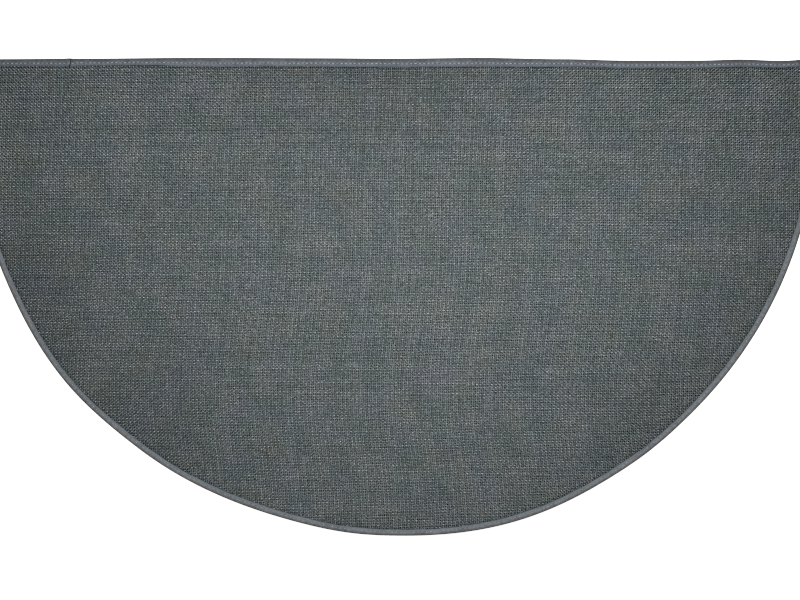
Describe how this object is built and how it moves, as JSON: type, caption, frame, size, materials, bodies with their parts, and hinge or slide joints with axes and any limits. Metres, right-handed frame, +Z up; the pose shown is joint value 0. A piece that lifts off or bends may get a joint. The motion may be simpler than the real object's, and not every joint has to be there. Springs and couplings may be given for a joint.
{
  "type": "half round hearth rug",
  "caption": "Flat half round hearth rug of plain-woven grey cloth, its whole edge bound with a narrow folded and stitched blue-grey tape.",
  "frame": {"origin": "on the floor, under the middle of the rug's box", "axes": "+X to the right along the straight back edge, +Y towards the straight back edge that lies against the hearth, +Z up from the floor"},
  "size_m": [1.2192, 0.6878, 0.0073],
  "materials": {
    "woven_field": "dry, matt plain weave of thick flecked yarn",
    "edge_tape": "closely woven matt tape with one run of light stitches"
  },
  "bodies": {
    "root": {"woven_mat": "woven_field", "edge_tape": "edge_tape"}
  },
  "joints": []
}
